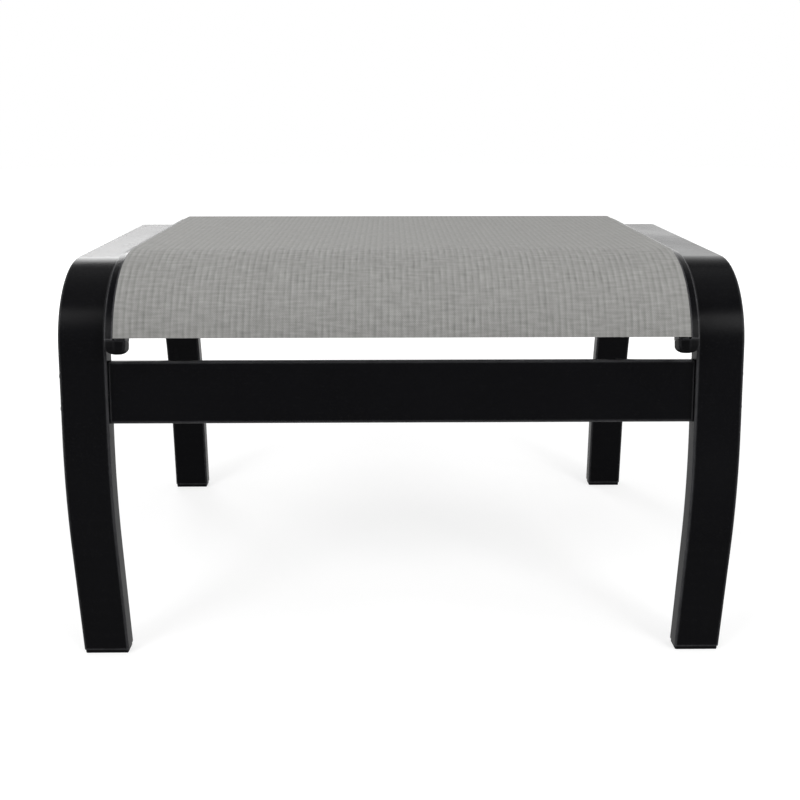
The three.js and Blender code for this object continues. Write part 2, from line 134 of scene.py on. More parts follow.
# %% Helpers for running a section along
facing_rear = (math.pi / 2, 0, 0)
facing_side = (math.pi / 2, 0, math.pi / 2)


def add_section(name, width, height, middle, facing=facing_rear):
    put_away()
    bpy.ops.mesh.primitive_plane_add(size=1, location=middle, rotation=facing)
    piece = bpy.context.object
    piece.name = piece.data.name = name
    piece.scale = (width, height, 1)
    settle(piece)
    return piece


def add_round_section(name, radius, middle, corners=32, facing=facing_rear):
    put_away()
    bpy.ops.mesh.primitive_circle_add(
        vertices=corners, radius=radius, location=middle, rotation=facing, fill_type="NGON")
    piece = bpy.context.object
    piece.name = piece.data.name = name
    settle(piece)
    return piece


def round_corners(radius, steps=4):
    bpy.ops.mesh.select_mode(type="VERT")
    bpy.ops.mesh.select_all(action="SELECT")
    bpy.ops.mesh.bevel(offset=radius, segments=steps, affect="VERTICES")


def keep_outline():
    bpy.ops.mesh.select_mode(type="FACE")
    bpy.ops.mesh.select_all(action="SELECT")
    bpy.ops.mesh.delete(type="ONLY_FACE")
    bpy.ops.mesh.select_mode(type="EDGE")
    bpy.ops.mesh.select_all(action="SELECT")


def run_straight(way):
    bpy.ops.mesh.extrude_edges_move(TRANSFORM_OT_translate={"value": way})


def run_round(angle, middle, steps, axis=(1, 0, 0)):
    bpy.ops.mesh.spin(steps=steps, angle=angle, center=middle, axis=axis)


# %% [markdown]
# A run ends in the same few touches. A modifier is added, set and applied in one go. The mirror joins the halves,
# faces are turned outwards before a wall gets its thickness, and shading is smoothed except over real edges.

# %% Helpers for finishing and copying a piece
def finish_with(piece, kind, **settings):
    work_on(piece)
    modifier = piece.modifiers.new(kind.title(), kind)
    for name, value in settings.items():
        setattr(modifier, name, value)
    bpy.ops.object.modifier_apply(modifier=modifier.name)


def mirror(piece, axis):
    finish_with(piece, "MIRROR", use_axis=tuple(letter == axis for letter in "XYZ"), merge_threshold=hair)


def face_outwards(piece):
    edit(piece)
    bpy.ops.mesh.select_all(action="SELECT")
    bpy.ops.mesh.remove_doubles(threshold=touching)
    bpy.ops.mesh.normals_make_consistent(inside=False)
    put_away()


def give_wall(piece, wall):
    finish_with(piece, "SOLIDIFY", thickness=wall, offset=-1, use_even_offset=True)


def smooth(piece, degrees=32):
    work_on(piece)
    bpy.ops.object.shade_smooth_by_angle(angle=math.radians(degrees))
    finish_with(piece, "WEIGHTED_NORMAL", keep_sharp=True, weight=80)


def copy_of(piece, name, location=(0, 0, 0), turn=0.0):
    work_on(piece)
    bpy.ops.object.duplicate(linked=False)
    twin = bpy.context.object
    twin.name = twin.data.name = name
    twin.location = location
    twin.rotation_euler = (0, 0, turn)
    settle(twin)
    return twin


# %% [markdown]
# The side frame is one flat tube with rounded corners, bent over the top like a staple. Its legs splay out, bow
# gently and turn in again at the foot. It could be a curve with a bevel, but a curve would round the tube's flat
# faces at the bends. So the tube's section is drawn at the middle of the top and run to the rear foot: straight,
# round the tight bend, down the splay, round the long bow and down to the glide, where it is cut level.

# %% Side frames
tube_width, tube_thick, tube_wall, tube_corner = 46 * mm, 19 * mm, 1.5 * mm, 2 * mm
half_width, half_depth, frame_top = 330 * mm, 242 * mm, 397 * mm
bend_radius, bow_radius, bow_height = 90 * mm, 550 * mm, 146 * mm
splay, toe = math.radians(9.8), math.radians(2.6)
glide_height = 5 * mm
sign_of = {"left": -1, "right": 1, "front": -1, "rear": 1}

bow_middle = Vector((0, half_depth - bow_radius, bow_height))
bend_height = frame_top - bend_radius
splay_rise = bend_height - bow_height - (bow_radius - bend_radius) * math.sin(splay)
bend_y = bow_middle.y + (bow_radius - bend_radius) * math.cos(splay) - math.tan(splay) * splay_rise
splay_run = splay_rise / math.cos(splay)
tube_bow = bow_radius - tube_thick / 2
foot_run = (bow_height - tube_bow * math.sin(toe) - glide_height) / math.cos(toe)


def side_frame(name, x):
    tube = add_section(name, tube_width, tube_thick, (x, 0, frame_top - tube_thick / 2))
    edit(tube)
    round_corners(tube_corner)
    keep_outline()
    run_straight((0, bend_y, 0))
    run_round(math.pi / 2 - splay, (x, bend_y, bend_height), steps=28)
    run_straight((0, splay_run * math.sin(splay), -splay_run * math.cos(splay)))
    run_round(splay + toe, (x, bow_middle.y, bow_middle.z), steps=12)
    run_straight((0, -foot_run * math.sin(toe), -foot_run * math.cos(toe)))
    bpy.ops.transform.resize(value=(1, 1, 0), center_override=(x, half_depth, glide_height))
    put_away()
    mirror(tube, "Y")
    face_outwards(tube)
    give_wall(tube, tube_wall)
    smooth(tube)
    return tube


side_frames = {}
for side in ("left", "right"):
    frame_x = sign_of[side] * (half_width - tube_width / 2)
    side_frames[side] = side_frame(f"frame_tube_{side}", frame_x)
    compare(side_frames[side], f"side_frame_{side}")

# %% [markdown]
# Seen from the side, the sling follows one line: level in the middle, then round a bend at the front and at the
# back. The rails, the cloth and the vinyl rods in its hems all follow that line, so one helper runs any outline
# along it, and another makes a closed bar of it.

# %% The route of the sling
sling_above_frame = 9.5 * mm
crown = frame_top + sling_above_frame
level_half, sling_radius = 139 * mm, 104 * mm
sling_wrap = math.radians(70.9)
sling_centre = crown - sling_radius
cloth_thick = 0.8 * mm
fit_gap = 0.3 * mm


def run_along_sling(angle, steps=36):
    run_straight((0, level_half, 0))
    run_round(angle, (0, level_half, sling_centre), steps)


def add_bar_along_sling(name, section_of, angle):
    bar = section_of(name)
    keep_outline()
    run_along_sling(angle)
    bpy.ops.mesh.edge_face_add()
    put_away()
    mirror(bar, "Y")
    face_outwards(bar)
    return bar


print("cloth along its route, mm:", round(2 * (level_half + sling_radius * sling_wrap) / mm, 1))

# %% [markdown]
# A sling rail is an aluminium extrusion. A keyhole channel in its top grips the hem of the cloth, its shoulders fall
# away from the channel's mouth, and a closed chamber below makes it stiff.
# First come its sizes. The rail runs a little past the cloth, and whatever cuts it runs further still.

# %% Sizes of a sling rail
rail_width, rail_depth, rail_wall, rail_corner = 20 * mm, 19 * mm, 1.5 * mm, 1.2 * mm
rail_gap, shoulder_drop, flat_top, channel_lip = 3 * mm, 2.9 * mm, 2 * mm, 1.6 * mm
rail_past_cloth, cutter_overrun = 1.5 * mm, 4 * mm
rail_outer = half_width - tube_width - rail_gap
rail_middle = rail_outer - rail_width / 2
rail_top = crown - cloth_thick - fit_gap
rail_end = sling_wrap + rail_past_cloth / sling_radius
rod_radius = 2.1 * mm
channel_radius = rod_radius + fit_gap + cloth_thick + fit_gap
channel_z = rail_top - channel_lip - channel_radius
chamber_top = channel_z - channel_radius - rail_wall
chamber_bottom = rail_top - rail_depth + rail_wall
past_end = rail_end + cutter_overrun / sling_radius
chamber_depth = chamber_top - chamber_bottom
print("channel across and chamber deep, mm:", [round(v / mm, 2) for v in (2 * channel_radius, chamber_depth)])

# %% [markdown]
# Drawing the rail's whole section point by point would be slow, so it is made as a toolmaker thinks of it: a solid
# bar with three cutters run along the same route, taken away by a boolean. The bar's top edge is cut in three, its
# middle third is drawn in to the flat, and its ends drop for the shoulders.

# %% Sling rails
def rail_section(x, corner=rail_corner):
    def on_top(point):
        return point.co.z > rail_top - near

    def outside(point):
        return abs(point.co.x - x) > rail_width / 4

    def section(name):
        bar = add_section(name, rail_width, rail_depth, (x, 0, rail_top - rail_depth / 2))
        edit(bar)
        pick(bar, "EDGE", lambda e: all(on_top(v) for v in e.verts))
        bpy.ops.mesh.subdivide(number_cuts=2)
        pick(bar, "VERT", lambda v: on_top(v) and not outside(v))
        bpy.ops.transform.resize(value=(3 * flat_top / rail_width, 1, 1), center_override=(x, 0, rail_top))
        pick(bar, "VERT", lambda v: on_top(v) and outside(v))
        bpy.ops.transform.translate(value=(0, 0, -shoulder_drop))
        pick(bar, "VERT", outside)
        bpy.ops.mesh.bevel(offset=corner, segments=4, affect="VERTICES")
        return bar
    return section


def flat_section(x, width, low, high):
    def section(name):
        bar = add_section(name, width, high - low, (x, 0, (low + high) / 2))
        edit(bar)
        return bar
    return section


def round_section(x, z, radius, corners):
    def section(name):
        bar = add_round_section(name, radius, (x, 0, z), corners)
        edit(bar)
        return bar
    return section


def cut_away(piece, cutter):
    finish_with(piece, "BOOLEAN", object=cutter, operation="DIFFERENCE", solver="EXACT")
    bpy.data.objects.remove(cutter, do_unlink=True)


def sling_rail(name, x):
    rail = add_bar_along_sling(name, rail_section(x), rail_end)
    mouth = 2 * (cloth_thick + fit_gap)
    for section in (
        round_section(x, channel_z, channel_radius, corners=24),
        flat_section(x, mouth, channel_z, rail_top + cutter_overrun / 2),
        flat_section(x, rail_width - 2 * rail_wall, chamber_bottom, chamber_top),
    ):
        cut_away(rail, add_bar_along_sling("cutter", section, past_end))
    smooth(rail)
    return rail


rails = {}
for side in ("left", "right"):
    rails[side] = sling_rail(f"channel_rail_{side}", sign_of[side] * rail_middle)
    compare(rails[side], f"sling_rail_{side}")

# %% [markdown]
# The rods that fill the hems are plain flexible vinyl. A circle run along the same route is all they need, with the
# ends cut square.

# %% Vinyl rods in the hems
hem_rods = {}
for side in ("left", "right"):
    section = round_section(sign_of[side] * rail_middle, channel_z, rod_radius, corners=20)
    hem_rods[side] = add_bar_along_sling(f"hem_rod_{side}", section, sling_wrap)
    smooth(hem_rods[side], degrees=50)
    compare(hem_rods[side], f"spline_{side}")

# %% [markdown]
# The sling is one sheet. At each side it turns down into the rail's mouth and its hem goes right round the vinyl rod.
# A cloth simulation would let it hang, but this sheet is pulled tight, and every thread across it is straight.
# So its outline is drawn in the middle of the seat, hems and all. Spin bends one corner point round the rod, and the
# cloth's edge goes back up beside its own neck. Solidify then gives the line the thickness of the cloth, a little
# less than the CAD model has, so that the two plies of the neck don't touch.

# %% Sling cloth
neck_x = rail_middle + cloth_thick / 2
hem_radius = rod_radius + fit_gap + cloth_thick / 2
hem_meets = math.acos(cloth_thick / 2 / hem_radius)
hem_turn = math.pi + 2 * hem_meets
hem_top = channel_z + hem_radius * math.sin(hem_meets)
sheet_z = crown - cloth_thick / 2
fold_radius, edge_below_sheet, modelled_thick = 1 * mm, 1.1 * cloth_thick, 0.96 * cloth_thick

cloth = add_section("sling_cloth", 2 * neck_x, sheet_z - hem_top, (0, 0, (sheet_z + hem_top) / 2))
edit(cloth)
pick(cloth, "VERT", lambda v: v.co.z > sheet_z - near)
bpy.ops.mesh.bevel(offset=fold_radius, segments=5, affect="VERTICES")
keep_outline()
pick(cloth, "EDGE", lambda e: all(v.co.z < hem_top + near for v in e.verts))
bpy.ops.mesh.delete(type="EDGE")
pick(cloth, "EDGE", lambda e: all(v.co.z > sheet_z - hair for v in e.verts))
bpy.ops.mesh.subdivide(number_cuts=63)
for side in ("left", "right"):
    outer = sign_of[side]
    pick(cloth, "VERT", lambda v: v.co.z < hem_top + near and v.co.x * outer > neck_x - near)
    run_round(outer * hem_turn, (outer * rail_middle, 0, channel_z), steps=20, axis=(0, 1, 0))
    back_up = (0, 0, sheet_z - hem_top - edge_below_sheet)
    bpy.ops.mesh.extrude_vertices_move(TRANSFORM_OT_translate={"value": back_up})
bpy.ops.mesh.select_all(action="SELECT")
section_length = sum(e.calc_length() for e in bmesh.from_edit_mesh(cloth.data).edges)
run_along_sling(sling_wrap, steps=48)
put_away()
mirror(cloth, "Y")
face_outwards(cloth)
finish_with(cloth, "SOLIDIFY", thickness=modelled_thick, offset=0, use_even_offset=True)
smooth(cloth, degrees=40)
compare(cloth, "sling_fabric")

# %% [markdown]
# Each end of a rail is closed by a moulded plastic cap with the rail's own outline and a domed end. A block with
# bevelled edges would be quick, but its bevels don't follow the sloping shoulders.
# So the rail's own section is drawn again with softer corners and drawn out. The dome comes out of its end in short
# steps along a quarter of a circle, each a little smaller, and it is rounded more widely across than in depth.

# %% The domed body of a rail end cap
cap_length, cap_edge = 13 * mm, 2 * mm
cap_dome, cap_dome_across, dome_steps = 7 * mm, 8.8 * mm, 8
cap_middle_z = rail_top - rail_depth / 2 - crown


def stand_at(piece, location, lean=0.0):
    work_on(piece)
    piece.location = location
    piece.rotation_euler = (lean, 0, 0)
    settle(piece)


def draw_out(way):
    bpy.ops.mesh.extrude_region_move(TRANSFORM_OT_translate={"value": way})


cap = rail_section(0, cap_edge)("end_cap")
stand_at(cap, (0, fit_gap, -crown))
edit(cap)
bpy.ops.mesh.select_mode(type="FACE")
bpy.ops.mesh.select_all(action="SELECT")
draw_out((0, cap_length - cap_dome - fit_gap, 0))
reach, shrink = 0.0, 0.0
for step in range(1, dome_steps + 1):
    swing = math.pi / 2 * step / dome_steps
    next_reach, next_shrink = cap_dome * math.sin(swing), cap_dome * (1 - math.cos(swing))
    draw_out((0, next_reach - reach, 0))
    wide_before, wide = (cap_dome_across / cap_dome * size for size in (shrink, next_shrink))
    across = (rail_width / 2 - wide) / (rail_width / 2 - wide_before)
    deep = (rail_depth / 2 - next_shrink) / (rail_depth / 2 - shrink)
    bpy.ops.transform.resize(value=(across, 1, deep), center_override=(0, 0, cap_middle_z))
    reach, shrink = next_reach, next_shrink
put_away()
face_outwards(cap)
print("cap body:", len(cap.data.polygons), "faces")

# %% [markdown]
# A tongue holds the cap in the rail's chamber. It starts as a block inside the cap, and Spin draws its inner face
# back along the rail's bend, so that it lies in the chamber as the real one would after it is pushed in. A union
# makes one moulding of the two. Then the cap is set on the rail's end, and three copies close the other ends.

# %% The cap's tongue, and four caps
tongue_length = 14 * mm
corner_names = [(end, side) for end in ("front", "rear") for side in ("left", "right")]


def add_block(name, size, middle):
    put_away()
    bpy.ops.mesh.primitive_cube_add(size=1, location=middle)
    piece = bpy.context.object
    piece.name = piece.data.name = name
    piece.scale = size
    settle(piece)
    edit(piece)
    return piece


def copy_to_corners(piece, name, x):
    piece.name = piece.data.name = f"{name}_rear_right"
    left = copy_of(piece, f"{name}_rear_left", (-2 * x, 0, 0))
    front_left = copy_of(piece, f"{name}_front_left", turn=math.pi)
    front_right = copy_of(left, f"{name}_front_right", turn=math.pi)
    return dict(zip(corner_names, (front_left, front_right, left, piece)))


tongue_low, tongue_high = (z - crown for z in (chamber_bottom + fit_gap, chamber_top - fit_gap))
tongue_size = (rail_width - 2 * (rail_wall + fit_gap), cap_length / 2, tongue_high - tongue_low)
tongue = add_block("tongue", tongue_size, (0, cap_length / 4, (tongue_low + tongue_high) / 2))
pick(tongue, "FACE", lambda f: f.normal.y < -0.9)
run_round(-tongue_length / sling_radius, (0, 0, -sling_radius), steps=4)
put_away()
face_outwards(tongue)
finish_with(cap, "BOOLEAN", object=tongue, operation="UNION", solver="EXACT")
bpy.data.objects.remove(tongue, do_unlink=True)
put_away()
face_outwards(cap)
smooth(cap, degrees=40)
end_y = level_half + sling_radius * math.sin(rail_end)
end_z = sling_centre + sling_radius * math.cos(rail_end)
stand_at(cap, (rail_middle, end_y, end_z), lean=-rail_end)
caps = copy_to_corners(cap, "end_cap", rail_middle)
for end, side in corner_names:
    compare(caps[end, side], f"rail_cap_{end}_{side}")

# %% [markdown]
# The two cross tubes are flat tubes on edge, bolted between the leaning legs and leaning with them.
# Half of one is run from the middle to the leg and mirrored. It is then leaned and set where its CAD node is.

# %% Cross tubes
cross_depth, cross_height = 12.5 * mm, 61 * mm
cross_half = half_width - tube_width - fit_gap


def middle_of_node(node):
    low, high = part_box(node)
    return (Vector(low) + Vector(high)) / 2


cross = add_section("cross_tube", cross_depth, cross_height, (0, 0, 0), facing_side)
edit(cross)
round_corners(tube_corner)
keep_outline()
run_straight((cross_half, 0, 0))
put_away()
mirror(cross, "X")
face_outwards(cross)
give_wall(cross, tube_wall)
smooth(cross)
cross_tubes = {"rear": copy_of(cross, "cross_tube_rear"), "front": cross}
cross.name = cross.data.name = "cross_tube_front"
for end in ("front", "rear"):
    stand_at(cross_tubes[end], middle_of_node(f"cross_rail_{end}"), lean=sign_of[end] * splay)
    compare(cross_tubes[end], f"cross_rail_{end}")

# %% [markdown]
# Two round spreader tubes under the sling push the rails apart, and so keep it tight. They dip in the middle, so
# that the sling can give without touching them. A circle is run out from the middle: level, up a bend, along a
# slope, back to level.

# %% Spreader tubes
spreader_radius, spreader_y, spreader_level = 8 * mm, 105 * mm, 35 * mm
spreader_drop, spreader_bend, spreader_slope = 26 * mm, 60 * mm, math.radians(18)
spreader_end = rail_middle - rail_width / 2 - fit_gap
bolt_z = middle_of_node("spreader_bolt_rear_right").z
slope_run = (spreader_drop - 2 * spreader_bend * (1 - math.cos(spreader_slope))) / math.sin(spreader_slope)
upper_x = spreader_end + fit_gap - spreader_level
lower_x = upper_x - 2 * spreader_bend * math.sin(spreader_slope) - slope_run * math.cos(spreader_slope)
low_z = bolt_z - spreader_drop

spreader = add_round_section("spreader_tube", spreader_radius, (0, spreader_y, low_z), facing=facing_side)
edit(spreader)
keep_outline()
run_straight((lower_x, 0, 0))
run_round(spreader_slope, (lower_x, spreader_y, low_z + spreader_bend), steps=8, axis=(0, 1, 0))
run_straight((slope_run * math.cos(spreader_slope), 0, slope_run * math.sin(spreader_slope)))
run_round(-spreader_slope, (upper_x, spreader_y, bolt_z - spreader_bend), steps=8, axis=(0, 1, 0))
run_straight((spreader_end - upper_x, 0, 0))
put_away()
mirror(spreader, "X")
face_outwards(spreader)
give_wall(spreader, tube_wall)
smooth(spreader)
spreader.name = spreader.data.name = "spreader_tube_rear"
spreaders = {"rear": spreader, "front": copy_of(spreader, "spreader_tube_front", turn=math.pi)}
for end in ("front", "rear"):
    compare(spreaders[end], f"spreader_bar_{end}")

# %% [markdown]
# A foot glide is a moulded pad that stands on the floor, with a ribbed tongue pushed up into the tube.
# It starts as a block. Its top face is inset and drawn up into the tongue, one rib at a time, leaning as the leg
# does. The pad's own edges are softened last.

# %% Foot glides
pad_inset, pad_edge = 1 * mm, 1.4 * mm
pad_top = glide_height - fit_gap
ribs, ribbed_height, rib_height, rib_reach, rib_slope = 3, 26 * mm, 2.5 * mm, 1.8 * mm, 0.1 * mm
rib_pitch = ribbed_height / ribs
core_inset = tube_wall + fit_gap + rib_reach
core_half = Vector((tube_width, tube_thick)) / 2 - Vector((1, 1)) * core_inset
wider = [(half + rib_reach) / half for half in core_half]
narrower = [1 / w for w in wider]


def middle_of_selection(piece):
    chosen = [f for f in bmesh.from_edit_mesh(piece.data).faces if f.select]
    return sum((f.calc_center_median() for f in chosen), Vector()) / len(chosen)


def draw_up(rise, across=1, along=1):
    draw_out((0, rise * math.tan(toe), rise))
    bpy.ops.transform.resize(value=(across, along, 1), center_override=middle_of_selection(glide))


def edge_of_pad(edge):
    heights = [v.co.z for v in edge.verts]
    sharp = len(edge.link_faces) == 2 and edge.calc_face_angle() > math.radians(60)
    return sharp and max(heights) < pad_top + near and min(heights) < near


pad_size = (tube_width - 2 * pad_inset, tube_thick - 2 * pad_inset, pad_top)
glide = add_block("foot_pad", pad_size, (0, 0, pad_top / 2))
pick(glide, "FACE", lambda f: f.normal.z > 0.9)
bpy.ops.transform.translate(value=(0, pad_top * math.tan(toe), 0))
bpy.ops.mesh.inset(thickness=core_inset - pad_inset)
height = pad_top
for rib in range(ribs):
    rib_top = glide_height + (rib + 1) * rib_pitch - rib_height / 2
    draw_up(rib_top - rib_height - height)
    draw_up(rib_slope, *wider)
    draw_up(rib_height - rib_slope, *narrower)
    height = rib_top
pick(glide, "EDGE", edge_of_pad)
bpy.ops.mesh.bevel(offset=pad_edge, segments=4, affect="EDGES")
put_away()
face_outwards(glide)
smooth(glide, degrees=40)
foot_y = bow_middle.y + tube_bow * math.cos(toe) - math.tan(toe) * (bow_height - tube_bow * math.sin(toe))
foot_x = half_width - tube_width / 2
stand_at(glide, (foot_x, foot_y, 0))
glides = copy_to_corners(glide, "foot_pad", foot_x)
for end, side in corner_names:
    compare(glides[end, side], f"foot_glide_{end}_{side}")

# %% [markdown]
# Button-head bolts hold it all together. A short cylinder is the head. Its rim is bevelled into a dome, the shank is
# drawn out of its inner face and tapered at the point, and a hexagonal cutter sinks the socket.

# %% A button-head bolt
dome_share, head_rim, point_share = 0.85, 0.3 * mm, 0.5


def add_cylinder(radius, length, middle, corners):
    put_away()
    bpy.ops.mesh.primitive_cylinder_add(
        vertices=corners, radius=radius, depth=length, location=middle, rotation=(0, math.pi / 2, 0))
    piece = bpy.context.object
    settle(piece)
    return piece


def bolt(name, radius, head_radius, head_height, socket_radius, socket_depth, length):
    middle = (fit_gap + head_height) / 2
    piece = add_cylinder(head_radius, head_height - fit_gap, (middle, 0, 0), corners=32)
    piece.name = piece.data.name = name
    edit(piece)
    pick(piece, "EDGE", lambda e: all(v.co.x > middle for v in e.verts))
    bpy.ops.mesh.bevel(offset=dome_share * head_height, segments=8, profile=0.34, affect="EDGES")
    pick(piece, "FACE", lambda f: f.normal.x < -0.9)
    bpy.ops.mesh.inset(thickness=head_rim)
    bpy.ops.mesh.inset(thickness=head_radius - radius - head_rim)
    draw_out((-(length + fit_gap - radius / 2), 0, 0))
    draw_out((-radius / 2, 0, 0))
    bpy.ops.transform.resize(value=(1, point_share, point_share), center_override=(-length, 0, 0))
    cut_away(piece, add_cylinder(socket_radius, 2 * socket_depth, (head_height, 0, 0), corners=6))
    face_outwards(piece)
    smooth(piece, degrees=35)
    return piece


cross_bolt_radius, rail_bolt_radius = 3 * mm, 2.5 * mm
cross_bolt = bolt(
    "cross_bolt", cross_bolt_radius, head_radius=5.25 * mm, head_height=3.3 * mm,
    socket_radius=2.3 * mm, socket_depth=2 * mm, length=tube_width + 20 * mm)
rail_bolt = bolt(
    "rail_bolt", rail_bolt_radius, head_radius=4.75 * mm, head_height=2.75 * mm,
    socket_radius=1.75 * mm, socket_depth=1.6 * mm, length=half_width - spreader_end + 16 * mm)
print("bolts modelled, faces:", [len(model.data.polygons) for model in (cross_bolt, rail_bolt)])

# %% [markdown]
# Each kind is made once and copied to its holes: two in each leg for a cross tube, and one through the top of each
# frame for a rail and spreader. The heads face outwards, so the copies on the left are turned round.

# %% Bolts in their places
bolts = {}


def set_bolt(model, name, node):
    middle = middle_of_node(node)
    on_right = middle.x > 0
    place = (half_width if on_right else -half_width, middle.y, middle.z)
    bolts[node] = copy_of(model, name, place, turn=0 if on_right else math.pi)
    compare(bolts[node], node)


for end, side in corner_names:
    set_bolt(rail_bolt, f"rail_bolt_{end}_{side}", f"spreader_bolt_{end}_{side}")
    for row in ("lower", "upper"):
        set_bolt(cross_bolt, f"frame_bolt_{end}_{side}_{row}", f"cross_bolt_{end}_{side}_{row}")
for model in (cross_bolt, rail_bolt):
    bpy.data.objects.remove(model, do_unlink=True)

# %% [markdown]
# The bolts pass through drilled holes. A round cutter through both walls of a tube is the drill. The frame tube and
# the rail are drilled at the same place, one after the other.

# %% Bolt holes
def drill(piece, x, radius, length, place):
    cut_away(piece, add_cylinder(radius, length, (x, place.y, place.z), corners=24))


cross_hole, rail_hole = cross_bolt_radius + fit_gap, rail_bolt_radius + fit_gap
through_frame, through_rail = tube_width + cutter_overrun, rail_width + cutter_overrun
for end, side in corner_names:
    frame_x, rail_x = sign_of[side] * foot_x, sign_of[side] * rail_middle
    for row in ("lower", "upper"):
        place = middle_of_node(f"cross_bolt_{end}_{side}_{row}")
        drill(side_frames[side], frame_x, cross_hole, through_frame, place)
    place = middle_of_node(f"spreader_bolt_{end}_{side}")
    drill(side_frames[side], frame_x, rail_hole, through_frame, place)
    drill(rails[side], rail_x, rail_hole, through_rail, place)
for side in ("left", "right"):
    for piece in (side_frames[side], rails[side]):
        face_outwards(piece)
        smooth(piece)
        print(piece.name, "drilled,", len(piece.data.polygons), "faces")

# %% [markdown]
# A short plastic spacer on each rail bolt keeps the rail off the frame. It is a ring run along the bolt.

# %% Spacers
spacer_radius, spacer_wall, spacer_edge = 4.5 * mm, 1.7 * mm, 0.25 * mm
spacer_middle = half_width - tube_width - rail_gap / 2
spacer_length = rail_gap - 2 * fit_gap
spacer = add_round_section("spacer", spacer_radius, (-spacer_length / 2, 0, 0), 24, facing_side)
edit(spacer)
keep_outline()
run_straight((spacer_length, 0, 0))
put_away()
face_outwards(spacer)
give_wall(spacer, spacer_wall)
finish_with(spacer, "BEVEL", width=spacer_edge, segments=2, limit_method="ANGLE", angle_limit=math.radians(50))
smooth(spacer)
spacers = {}
for end, side in corner_names:
    place = (sign_of[side] * spacer_middle, sign_of[end] * spreader_y, bolt_z)
    spacers[end, side] = copy_of(spacer, f"spacer_{end}_{side}", place)
    compare(spacers[end, side], f"rail_spacer_{end}_{side}")
bpy.data.objects.remove(spacer, do_unlink=True)

# %% [markdown]
# A finish is more than a colour, and its look comes from nodes that are wired together. Wiring by hand means adding
# a node, setting it and drawing its links. These helpers do the same for the few nodes that all materials use.
# What more than one material needs is made once, as a node group with named inputs and outputs.

# %% Helpers for materials
def new_group(name, inputs, outputs):
    tree = bpy.data.node_groups.new(name, "ShaderNodeTree")
    for label, value in inputs.items():
        kind = "NodeSocketVector" if isinstance(value, tuple) else "NodeSocketFloat"
        tree.interface.new_socket(label, in_out="INPUT", socket_type=kind).default_value = value
    for label in outputs:
        tree.interface.new_socket(label, in_out="OUTPUT", socket_type="NodeSocketFloat")
    return tree, put(tree, "NodeGroupInput").outputs, put(tree, "NodeGroupOutput").inputs


def put(tree, kind, inputs=None, **settings):
    node = tree.nodes.new(kind)
    for name, value in settings.items():
        setattr(node, name, value)
    for name, value in (inputs or {}).items():
        if isinstance(value, bpy.types.NodeSocket):
            tree.links.new(value, node.inputs[name])
        else:
            node.inputs[name].default_value = value
    return node


def maths(tree, operation, *values, clamp=False):
    return put(tree, "ShaderNodeMath", dict(enumerate(values)), operation=operation, use_clamp=clamp).outputs[0]


def noise(tree, place, scale, detail=2.0, roughness=0.5):
    inputs = {"Vector": place, "Scale": scale, "Detail": detail, "Roughness": roughness}
    return put(tree, "ShaderNodeTexNoise", inputs).outputs["Fac"]


def between(tree, value, low, high, to_low=0.0, to_high=1.0):
    inputs = {"Value": value, "From Min": low, "From Max": high, "To Min": to_low, "To Max": to_high}
    return put(tree, "ShaderNodeMapRange", inputs).outputs["Result"]


def mix_colour(tree, factor, low, high):
    node = put(tree, "ShaderNodeMix", {"Factor": factor}, data_type="RGBA")
    for socket, value in ((node.inputs[6], low), (node.inputs[7], high)):
        if isinstance(value, bpy.types.NodeSocket):
            tree.links.new(value, socket)
        else:
            socket.default_value = (*value, 1)
    return node.outputs[2]


# %% [markdown]
# The first shared effect is grain: fine bumps, slow patches of tone as from one batch of powder or pellets to the
# next, and a few specks. One noise at three scales gives all three, so a material only says how fine its bumps are.

# %% Grain, shared by the coat, the plastic, the castings, the steel and the vinyl
grain_inputs = {"Place": (0.0, 0.0, 0.0), "Bumps per m": 900.0, "Patches per m": 12.0}
specks_per_bump = 2.3
grain_group, given, result = new_group("Grain", grain_inputs, ("Bumps", "Patches", "Specks"))
bumps = noise(grain_group, given["Place"], given["Bumps per m"], detail=3.0)
specks_per_m = maths(grain_group, "MULTIPLY", given["Bumps per m"], specks_per_bump)
specks = noise(grain_group, given["Place"], specks_per_m, detail=0.0)
patches = noise(grain_group, given["Place"], given["Patches per m"], detail=4.0, roughness=0.6)
grain_group.links.new(bumps, result["Bumps"])
grain_group.links.new(between(grain_group, patches, 0.3, 0.7), result["Patches"])
grain_group.links.new(between(grain_group, specks, 0.66, 0.8), result["Specks"])
print("grain group:", len(grain_group.nodes), "nodes")

# %% [markdown]
# Edges tell that a thing is real. Powder pulls thin on them and hands rub them, so they are a little smoother and
# worn a little paler. An edge colour much paler than that is painted highlight: thin light lines along edges that
# stand for reflections. A Bevel node feels how near the surface is to an edge, without any change to the mesh: near
# an edge its rounded normal leans away from the true one. Noise breaks the line up.

# %% Rubbed edges and painted edge highlights, shared by every hard material
edge_inputs = {"Place": (0.0, 0.0, 0.0), "Radius": 0.0025}
breaks_per_m, least_rubbed = 90.0, 0.7
edge_group, given, result = new_group("Rubbed edges", edge_inputs, ("Rubbed",))
rounded = put(edge_group, "ShaderNodeBevel", {"Radius": given["Radius"]}, samples=4).outputs[0]
straight = put(edge_group, "ShaderNodeNewGeometry").outputs["Normal"]
alike = put(edge_group, "ShaderNodeVectorMath", {0: rounded, 1: straight}, operation="DOT_PRODUCT").outputs["Value"]
near_edge = between(edge_group, alike, 0.999, 0.975)
breaks = noise(edge_group, given["Place"], breaks_per_m, detail=4.0)
broken = between(edge_group, breaks, 0.3, 0.6, least_rubbed, 1.0)
edge_group.links.new(maths(edge_group, "MULTIPLY", near_edge, broken), result["Rubbed"])
print("edge group:", len(edge_group.nodes), "nodes")
